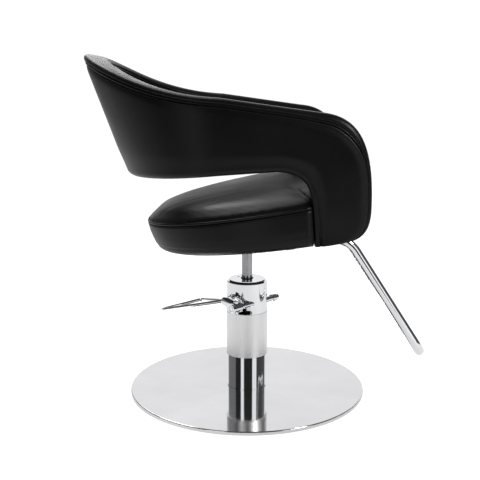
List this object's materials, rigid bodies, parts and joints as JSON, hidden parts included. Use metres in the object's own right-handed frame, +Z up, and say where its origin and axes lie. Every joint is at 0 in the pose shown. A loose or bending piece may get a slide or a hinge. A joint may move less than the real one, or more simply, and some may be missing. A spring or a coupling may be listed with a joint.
{
  "type": "hydraulic salon styling chair",
  "caption": "Salon styling chair with a wrap-around padded back and arms, a hydraulic pump column, a foot pedal, a tubular footrest and a round floor plate.",
  "frame": {"origin": "centre of the floor plate's underside, on the column axis, at floor level", "axes": "+Z up, front (footrest side) along -Y, the chair's own right arm along -X"},
  "size_m": [0.6026, 0.8196, 0.8472],
  "materials": {
    "rubber": "matt",
    "mild_steel": "satin",
    "polished_plate": "polished",
    "chrome": "polished",
    "satin_sleeve": "brushed along its height",
    "zinc_fastener": "satin",
    "bronze": "satin",
    "ram_steel": "ground",
    "black_paint": "satin",
    "plywood": "raw",
    "black_leather": "smooth, softly glossy",
    "black_cloth": "matt"
  },
  "bodies": {
    "base": {"floor_pad": "rubber", "base_disc": "mild_steel", "base_cover": "polished_plate", "base_bolts": "zinc_fastener", "tube_foot": "mild_steel", "lower_cylinder": "chrome", "column_sleeve": "satin_sleeve", "pump_head": "chrome", "cap_gasket": "rubber", "head_cap": "chrome", "filler_plug": "black_paint", "ram_wiper_seal": "rubber", "guide_bush": "bronze", "inner_cylinder": "mild_steel", "valve_block": "mild_steel", "shaft_bushings": "bronze", "plunger_spring": "zinc_fastener"},
    "foot_pedal": {"cross_shaft": "chrome", "crank_arm": "mild_steel", "pedal_hub": "chrome", "hub_set_screw": "zinc_fastener", "pedal_loop": "chrome", "shaft_collar": "chrome"},
    "plunger": {"pump_plunger": "zinc_fastener"},
    "lift_piston": {"piston": "mild_steel", "piston_seal": "rubber"},
    "seat": {"ram": "ram_steel", "spindle_socket": "black_paint", "seat_mount_plate": "black_paint", "mount_bolts": "zinc_fastener", "seat_board": "plywood", "board_nuts": "zinc_fastener", "seat_cushion": "black_leather", "seat_boxing": "black_leather", "seat_welt": "black_leather", "underside_cover": "black_cloth", "shell_frame": "plywood", "shell_outer_cover": "black_leather", "shell_inner_cover": "black_leather", "rim_gusset": "black_leather", "rim_welts": "black_leather", "footrest_tube": "chrome", "footrest_clamps": "black_paint", "footrest_screws": "zinc_fastener"}
  },
  "joints": [
    {"name": "lift", "type": "slide", "parent": "base", "child": "lift_piston", "axis": [0, 0, 1], "range_m": [-0.06, 0.065]},
    {"name": "seat_swivel", "type": "hinge", "parent": "lift_piston", "child": "seat", "pos_m": [0, 0, 0.2], "axis": [0, 0, 1], "continuous": true},
    {"name": "pedal_pump", "type": "hinge", "parent": "base", "child": "foot_pedal", "pos_m": [-0.02828, -0.02828, 0.238], "axis": [-0.7071, 0.7071, 0], "range_deg": [0, 28], "stiffness_Nm_per_rad": 6, "springref_deg": -20.05},
    {"name": "plunger_stroke", "type": "slide", "parent": "base", "child": "plunger", "axis": [0, 0, 1], "range_m": [-0.0058, 0], "deforming": ["plunger_spring"]}
  ],
  "couplings": [
    {"joint": "plunger_stroke", "follows": "pedal_pump", "m_per_rad": -0.0116}
  ]
}
